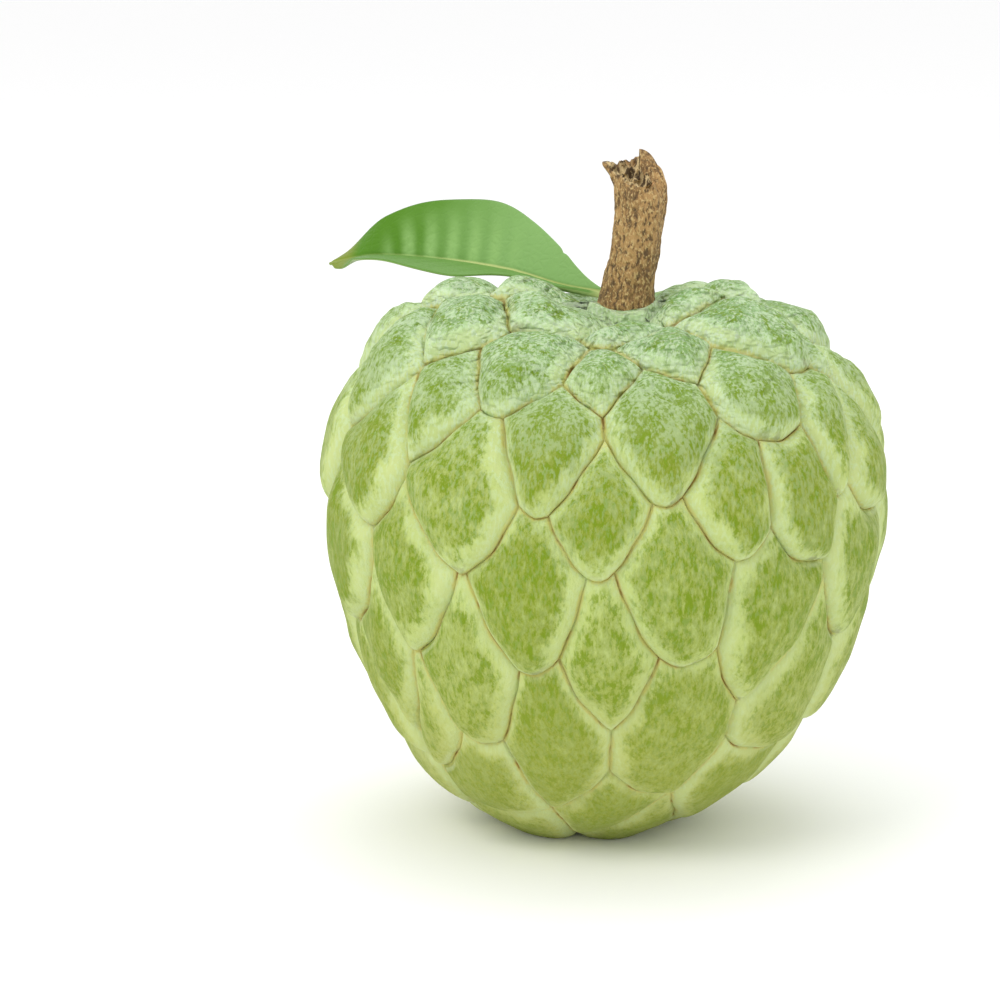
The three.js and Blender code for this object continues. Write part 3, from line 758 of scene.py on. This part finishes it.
def stalk_surface():
    """Radius = the path's radius + ridges + bark waves + splinter; height = along the path, and
    over the last stations the rim is tilted by a cosine and jagged by waves. On the right a flap
    of bark rises along a sine and folds inwards: radius * (1 - fold * passed^2.2), where passed
    runs from 0 to 1 over the fold. Then rings shrink to the middle and sink into a rough hollow."""
    angle = np.linspace(0, 2 * np.pi, STALK_SIDES, endpoint=False)
    share = np.linspace(0, 1, STALK_RINGS)[:, None]
    up, out, radius = (spline(share[:, 0], line)[:, None] for line in (STALK_UP, STALK_OUT, STALK_RADIUS))
    left = STALK_SPANS * (1 - share)
    tear = smoothstep(left, FLAP_SPANS, 0)
    circle = 4 * np.stack([np.cos(angle), np.sin(angle), 0 * angle], -1)
    jag = waves(circle, 2.2, 40, 21) * 0.25 + waves(circle, 0.7, 40, 22) * 0.18
    spur = np.exp(-((angle - STALK_SPUR_ANGLE) / STALK_SPUR_WIDTH) ** 2)
    flap = smoothstep(np.cos(angle - FLAP_TURN), *FLAP_EDGES)
    slant = tear * (STALK_TEAR * np.cos(angle - STALK_TEAR_TURN) + jag)
    arch = np.sin(FLAP_ARCH * np.clip(1 - left / FLAP_SPANS, 0, 1))
    slant = slant + FLAP_RISE * flap * arch + tear * STALK_SPUR_RISE * spur
    splinter = tear ** 3 * STALK_SPUR * spur
    fold = 1 - FLAP_FOLD * flap * np.clip(1 - left / FOLD_SPANS, 0, 1) ** 2.2
    ridges = STALK_RIDGE_HEIGHT * np.sin(STALK_RIDGES * angle + STALK_TWIST * up)
    rough = np.stack(np.broadcast_arrays(4 * np.cos(angle), 4 * np.sin(angle), up), -1)
    bark = BARK_HEIGHT * waves(rough, 1.5, 60, 31, (1, 1, 0.3))
    bark = bark + BARK_FINE_HEIGHT * waves(rough, 0.8, 60, 32, (1, 1, 0.6))
    bark = bark + STALK_FLARE * smoothstep(up, STALK_FLARE_UP, 0)
    side = (radius + ridges + bark) * fold
    outside = np.stack([foot[0] + out + (side + splinter) * np.cos(angle),
                        foot[1] + side * np.sin(angle), foot[2] + up + slant], -1)
    rim = outside[-1]
    middle = np.array([foot[0] + STALK_OUT[-1], foot[1], foot[2] + STALK_UP[-1] - 0.5])
    inward = np.linspace(0, 1, TORN_RINGS + 1)[1:-1, None, None]
    inside = rim + (middle - rim) * inward
    sunk = STALK_HOLLOW * smoothstep(inward[..., 0], 0.05, 0.35)
    sunk = sunk + smoothstep(inward[..., 0], 0, 0.15) * 0.7 * waves(inside * (1, 1, 0), 1.6, 40, 41)
    inside[..., 2] -= sunk
    inside[..., 1] += smoothstep(inward[..., 0], 0, 0.15) * 0.55 * waves(inside, 1.5, 40, 43)
    return outside, inside, middle - (0, 0, STALK_HOLLOW)


outside, inside, middle = stalk_surface()
stalk_points = np.vstack([outside.reshape(-1, 3), inside.reshape(-1, 3), middle,
                          outside[0].mean(0)])
rows = STALK_RINGS + TORN_RINGS - 1
stalk_faces = grid_faces(rows, STALK_SIDES, True).tolist()
last_ring = (rows - 1) * STALK_SIDES + np.arange(STALK_SIDES)
first_ring = np.arange(STALK_SIDES)
stalk_faces += [[a, b, rows * STALK_SIDES] for a, b in zip(last_ring, np.roll(last_ring, -1))]
stalk_faces += [[b, a, rows * STALK_SIDES + 1] for a, b in zip(first_ring, np.roll(first_ring, -1))]
torn = np.concatenate([np.zeros(outside.shape[0] * STALK_SIDES),
                       np.ones(inside.shape[0] * STALK_SIDES + 1), [0]])
stalk = make_piece("torn_stalk", stalk_points, stalk_faces, {"torn": torn})

# %% [markdown]
# ## The stalk's finish
# Dry bark is a mix of tan, brown and nearly black flakes, longer than they are wide. The torn wood is
# paler, with orange fibres, and its dark gaps are painted shade where hollows in the torn end lie dark.
# The mesh carries which points are torn, so one material does both.
# %% Bark finish
TAN = (0.43, 0.258, 0.096)
BROWN = (0.21, 0.118, 0.041)
DARK_BARK_AND_GAP_SHADE = (0.09, 0.052, 0.022)
PALE_BARK = (0.60, 0.43, 0.19)
TORN_WOOD = (0.66, 0.50, 0.25)
TORN_ORANGE = (0.46, 0.20, 0.05)

wood = Shader("bark")
flakes = wood.noise(0.6, 4, (1, 1, 0.5), 0.7)
specks = wood.noise(0.35, 2, (1, 1, 0.6), 0.5, 2.0)
patch = wood.noise(4.5, 2, (1, 1, 0.5), shift=5.0)
bark_colour = wood.mix((flakes + patch * 0.4).step(0.62, 0.80), BROWN, TAN)
bark_colour = wood.mix(specks.step(0.53, 0.64) * 0.8, bark_colour, PALE_BARK)
bark_colour = wood.mix(flakes.step(0.48, 0.38) * 0.85, bark_colour, DARK_BARK_AND_GAP_SHADE)
gap_shade_noise = wood.noise(1.1, 3, (1, 1, 0.6), 0.6, 8.0)
torn_colour = wood.mix(patch.step(0.50, 0.60) * 0.85, TORN_WOOD, TORN_ORANGE)
# Painted shade: dark patches on the torn wood where its hollows would lie in shadow.
torn_colour = wood.mix(gap_shade_noise.step(0.52, 0.44) * 0.95, torn_colour, DARK_BARK_AND_GAP_SHADE)
bark_colour = wood.mix(wood.layer("torn"), bark_colour, torn_colour)
bark_relief = wood.bump(flakes * 0.5 + specks * 0.5, 0.6)
stalk.data.materials.append(wood.finish(Base_Color=bark_colour, Roughness=0.85, Normal=bark_relief))
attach(stalk, "root")
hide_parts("stalk")

# %% [markdown]
# ## The leaf
# The leaf grows from the stalk's foot, folded up along its midrib: the far half stands up and
# the near half lies low. It is a grid: one way along the midrib, the other from edge to edge,
# with a thickness. Its side veins are shallow valleys that run outwards and towards the tip. The same
# grid, drawn a second time below and joined round the rim, closes the blade.
# %% Leaf
LEAF_SPINE = [
    (2.7, 2.7, 84.8),
    (-3.5, 8.3, 85.1),
    (-12.5, 16.6, 86.5),
    (-24, 24.8, 87.1),
    (-34.5, 31, 86.9),
    (-42.5, 33.8, 85.4),
]
LEAF_STEM = 0.7
LEAF_HALF_WIDTH = 12
LEAF_FAR_RISE = 54
LEAF_NEAR_RISE = 3
LEAF_DIP = 5.5
LEAF_DIP_SHARE = 0.4
LEAF_DIP_WIDTH = 0.1
LEAF_BASE_NARROWING = 0.7
LEAF_BASE_SHARE = 0.24
LEAF_FULL_SHARE = 0.42
LEAF_THICKNESS = 0.5
LEAF_RIB = 0.7
LEAF_RIB_WIDTH = 1.0
LEAF_CURL_SHARE = 0.84
LEAF_CURL = 0.75
LEAF_TIP_DROOP = 28
LEAF_NICK = 0.05
LEAF_NICK_SHARE = 0.21
LEAF_NICK_WIDTH = 0.012
LEAF_GROOVE = 0.25
LEAF_GROOVE_WIDTH = 0.35
LEAF_WAVE = 0.3
LEAF_WAVES = 3
LEAF_VEINS = 13
VEIN_SLANT = 1.0
VEIN_DEPTH = 0.4
LEAF_STEPS = 170
LEAF_HALF_STEPS = 26


def leaf_surface():
    """share runs along the midrib, across from -1 at the far edge to 1 at the near edge.
    Half width = stem + width * sin(pi share^1.33)^0.9 (1 - 0.12 share), folded up at the midrib. The
    near half is narrow at the fruit's rim, hangs into the hollow behind it, and droops at the tip.
    Veins are valleys where share * veins - slant * |across| is a whole number."""
    even = np.linspace(0, 1, 2000)
    line = spline(even, LEAF_SPINE)
    length = np.concatenate([[0], np.linalg.norm(np.diff(line, axis=0), axis=1).cumsum()])
    share = np.linspace(0, 1, LEAF_STEPS + 1)
    at = np.stack([np.interp(share * length[-1], length, line[:, k]) for k in range(3)], -1)
    along = unit(np.gradient(at, axis=0))
    level = unit(np.stack([-along[:, 1], along[:, 0], 0 * share], -1))
    up = unit(np.cross(level, along))
    up = up * np.sign(up[:, 2:])
    share, at, level, up = share[:, None], at[:, None], level[:, None], up[:, None]
    across = np.linspace(-1, 1, 2 * LEAF_HALF_STEPS + 1)[None]
    outline = np.sin(np.pi * np.minimum(share, 0.997) ** 1.33) ** 0.9 * (1 - 0.12 * share)
    half = (LEAF_STEM + LEAF_HALF_WIDTH * outline) * (1 - 0.8 * smoothstep(share, 0.97, 1))
    curl = smoothstep(share, LEAF_CURL_SHARE, 1)
    dip = LEAF_DIP * np.exp(-((share - LEAF_DIP_SHARE) / LEAF_DIP_WIDTH) ** 2)
    near = across > 0
    rise = np.radians(np.where(near, LEAF_NEAR_RISE - dip - LEAF_TIP_DROOP * curl,
                               LEAF_FAR_RISE * (1 - LEAF_CURL * curl)))
    narrowing = LEAF_BASE_NARROWING * (1 - smoothstep(share, LEAF_BASE_SHARE, LEAF_FULL_SHARE))
    nick = LEAF_NICK * np.exp(-((share - LEAF_NICK_SHARE) / LEAF_NICK_WIDTH) ** 2) * ~near
    width = half * (1 - near * narrowing - nick) * np.abs(across)
    wave = LEAF_WAVE * across ** 2 * np.sin(2 * np.pi * LEAF_WAVES * share + across)
    phase = share * LEAF_VEINS - VEIN_SLANT * np.abs(across) ** 1.2
    vein = np.abs(phase - np.round(phase)) * 2
    bulge = VEIN_DEPTH * np.sqrt(vein + 0.01) * np.abs(across) * (1 - across ** 4) * 2 * outline
    height = width * np.sin(rise) + (wave + bulge) * np.sin(np.pi * share)
    sign = np.sign(across)
    middle = at + level * (sign * width * np.cos(rise))[..., None] + up * height[..., None]
    tilt = np.abs(across).clip(0, 0.08) / 0.08 * sign * rise
    normal = up * np.cos(tilt)[..., None] - level * np.sin(tilt)[..., None]
    rib = LEAF_RIB * np.exp(-(width / LEAF_RIB_WIDTH) ** 2) * (1 - 0.7 * share)
    thin = LEAF_THICKNESS / 2 * (1 - 0.4 * across ** 4)
    groove = LEAF_GROOVE * np.exp(-(width / LEAF_GROOVE_WIDTH) ** 2)
    top = middle + normal * (thin - groove)[..., None]
    bottom = middle - normal * (thin + rib)[..., None]
    uvs = np.stack(np.broadcast_arrays(share, across / 2 + 0.5), -1)
    layers = {"from_rib": width, "share": share, "across": across, "between": vein}
    layers = {name: np.broadcast_to(layer, width.shape).ravel() for name, layer in layers.items()}
    return top.reshape(-1, 3), bottom.reshape(-1, 3), uvs.reshape(-1, 2), layers


leaf_top, leaf_bottom, leaf_uvs, leaf_layers = leaf_surface()
rows, columns = LEAF_STEPS + 1, 2 * LEAF_HALF_STEPS + 1
upper_faces = grid_faces(rows, columns, False)
offset = rows * columns
ids = np.arange(offset).reshape(rows, columns)
rim = np.concatenate([ids[0], ids[1:, -1], ids[-1, -2::-1], ids[-2:0:-1, 0]])
rim_faces = np.stack([rim, np.roll(rim, -1), np.roll(rim, -1) + offset, rim + offset], -1)
leaf_faces = np.vstack([upper_faces[:, ::-1], upper_faces + offset, rim_faces])
leaf_layers = {name: np.tile(layer, 2) for name, layer in leaf_layers.items()}
leaf_layers["below"] = np.repeat([0, 1], offset)
leaf = make_piece("leaf_blade", np.vstack([leaf_top, leaf_bottom]), leaf_faces.tolist(),
                  leaf_layers, np.vstack([leaf_uvs, leaf_uvs]))

# %% [markdown]
# ## The leaf's finish
# The upper side is a clear green with a soft shine, deep towards the tip and paler towards the stalk, where
# the paleness is a painted sheen.
# Painted highlights lie on the bulges between the side veins, the midrib is a thin pale line, and fine
# veins make a net. The tip is olive, and the underside is greyer and paler.
# %% Leaf finish
LEAF_DEEP = (0.07, 0.20, 0.004)
LEAF_PAINTED_SHEEN = (0.195, 0.365, 0.105)
LEAF_BULGE_HIGHLIGHT = (0.25, 0.44, 0.13)
LEAF_NEAR = (0.115, 0.255, 0.04)
LEAF_OLIVE = (0.17, 0.23, 0.015)
LEAF_UNDER = (0.26, 0.38, 0.12)
MIDRIB = (0.44, 0.52, 0.19)

blade = Shader("leaf")
share = blade.layer("share")
across = blade.layer("across")
between = blade.layer("between")
blotches = blade.noise(7.0, 2)
mottle = blade.noise(1.2, 2)
# Painted sheen: the blade is painted paler towards the stalk end, in place of the shine it shows there.
leaf_colour = blade.mix((share + blotches * 0.2).step(0.94, 0.42), LEAF_DEEP, LEAF_PAINTED_SHEEN)
# Painted highlight: light bands on the bulges between the side veins, where the relief would catch the
# light.
vein_bulge_highlight = between.step(0.1, 0.9) * share.step(0.25, 0.5) * share.step(0.86, 0.76)
vein_bulge_highlight = vein_bulge_highlight * abs(across).step(0.95, 0.1) * (0.6 + mottle)
leaf_colour = blade.mix(vein_bulge_highlight * 0.7, leaf_colour, LEAF_BULGE_HIGHLIGHT)
leaf_colour = blade.mix(across.step(0.0, 0.1) * 0.8, leaf_colour, LEAF_NEAR)
# Olive over the last tenth of the blade, towards the tip.
leaf_colour = blade.mix(share.step(0.90, 0.95), leaf_colour, LEAF_OLIVE)
leaf_colour = blade.mix(blade.layer("below").step(0.4, 0.6), leaf_colour, LEAF_UNDER)
rib = blade.layer("from_rib").step(0.45, 0.2) * (0.25 + share.step(0.68, 0.5) * 0.75)
leaf_colour = blade.mix(rib, leaf_colour, MIDRIB)
net = blade.node("ShaderNodeTexVoronoi", {"feature": "DISTANCE_TO_EDGE"},
                 {"Vector": blade.place, "Scale": 1 / (1.4 * MM)})
leaf_relief = blade.bump(net.step(0.0, 0.25), 0.04)
leaf.data.materials.append(blade.finish(
    Base_Color=leaf_colour, Roughness=0.4 + mottle * 0.12, Normal=leaf_relief,
    Specular_IOR_Level=0.2))
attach(leaf, "root")
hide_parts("leaf")
